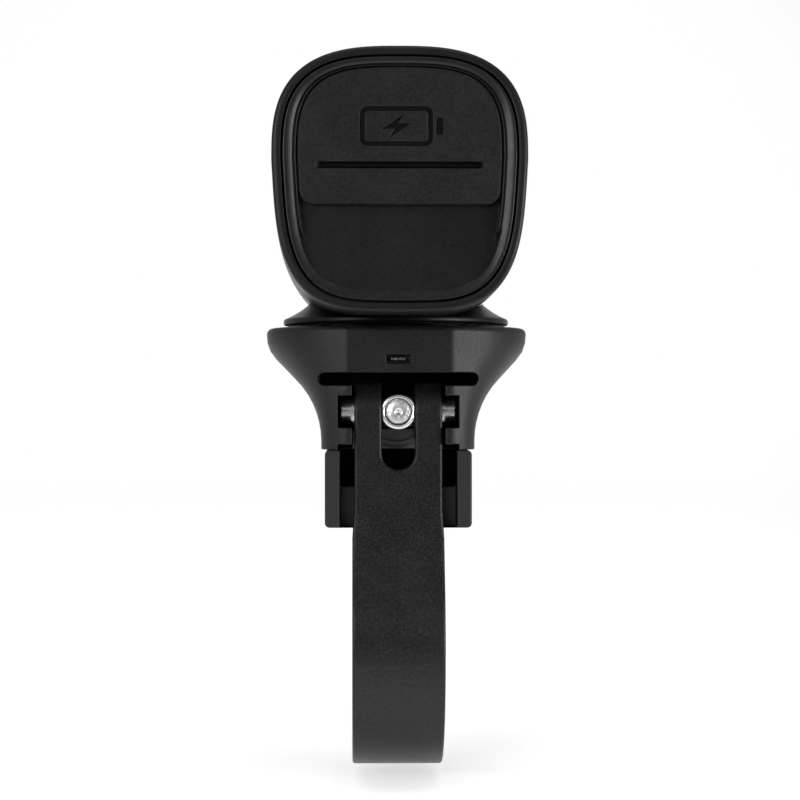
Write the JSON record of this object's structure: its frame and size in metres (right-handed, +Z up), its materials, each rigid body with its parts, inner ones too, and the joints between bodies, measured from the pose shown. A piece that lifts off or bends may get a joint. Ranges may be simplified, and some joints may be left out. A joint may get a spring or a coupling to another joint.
{
  "type": "bike headlight",
  "caption": "Bike headlight with a rounded head, rubber port cover and power button, on a swivelling bracket with a slotted strap closed by a thumb screw.",
  "frame": {"origin": "the handlebar's axis, midway along the strap's width", "axes": "+X along the handlebar, +Y along the beam, +Z up"},
  "size_m": [0.0406, 0.0947, 0.109],
  "materials": {
    "bracket_plastic": "fine matt grain",
    "shell_plastic": "satin",
    "gloss_plastic": "glossy",
    "cover_rubber": "soft matt",
    "shoe_rubber": "soft matt",
    "strap_rubber": "satin",
    "steel": "polished",
    "sink_metal": "black anodised",
    "washer_nylon": "plain",
    "lens_clear": "clear",
    "bowl_mirror": "bright",
    "board_white": "white solder mask",
    "board_green": "green solder mask",
    "led_phosphor": "clear dome",
    "cell_wrap": "shrink wrap"
  },
  "bodies": {
    "bracket": {"bracket_body": "bracket_plastic", "saddle_shoe": "shoe_rubber", "barrel_nut": "steel", "detent_spring": "steel", "swivel_washer": "washer_nylon"},
    "knob_carrier": {"knob_washer": "steel"},
    "knob": {"clamp_bolt": "steel", "clamp_knob": "bracket_plastic"},
    "strap": {"strap": "strap_rubber"},
    "head": {"head_shell": "shell_plastic", "swivel_foot": "gloss_plastic", "foot_screws": "steel", "pivot_screw": "steel", "pivot_washer": "steel", "heat_sink": "sink_metal", "front_bezel": "shell_plastic", "lens": "lens_clear", "lens_seal": "cover_rubber", "reflector": "bowl_mirror", "led_board": "board_white", "led_emitter": "led_phosphor", "battery_cell": "cell_wrap", "cell_cradle": "bracket_plastic", "main_board": "board_green", "push_switch": "bracket_plastic", "button_frame": "gloss_plastic", "status_window": "lens_clear", "rear_cap": "gloss_plastic", "rear_seal": "cover_rubber", "cap_screws": "steel", "port_cover": "cover_rubber", "port_board": "board_green", "socket_shell": "steel", "socket_tongue": "bracket_plastic"},
    "power_button": {"power_button": "cover_rubber"},
    "port_tab": {"port_tab": "cover_rubber"}
  },
  "joints": [
    {"name": "head_swivel", "type": "hinge", "parent": "bracket", "child": "head", "pos_m": [0, 0.008, 0.0487], "axis": [0, 0, 1], "range_deg": [-25, 25]},
    {"name": "power_press", "type": "slide", "parent": "head", "child": "power_button", "axis": [0, 0, -1], "range_m": [0, 0.0008], "stiffness_N_per_m": 600},
    {"name": "tab_open", "type": "hinge", "parent": "head", "child": "port_tab", "pos_m": [0, -0.0253, 0.07075], "axis": [1, 0, 0], "range_deg": [-100, 0]},
    {"name": "strap_swing", "type": "hinge", "parent": "bracket", "child": "strap", "pos_m": [0, -0.00965, 0.03515], "axis": [1, 0, 0], "range_deg": [-70, 0]},
    {"name": "knob_travel", "type": "slide", "parent": "bracket", "child": "knob_carrier", "axis": [0, 1, 0], "range_m": [0, 0.00265]},
    {"name": "knob_turn", "type": "hinge", "parent": "knob_carrier", "child": "knob", "pos_m": [0, 0.0194, 0.03515], "axis": [0, 1, 0], "range_deg": [0, 1350]}
  ],
  "couplings": [
    {"joint": "knob_travel", "follows": "knob_turn", "m_per_rad": 0.00011141}
  ]
}
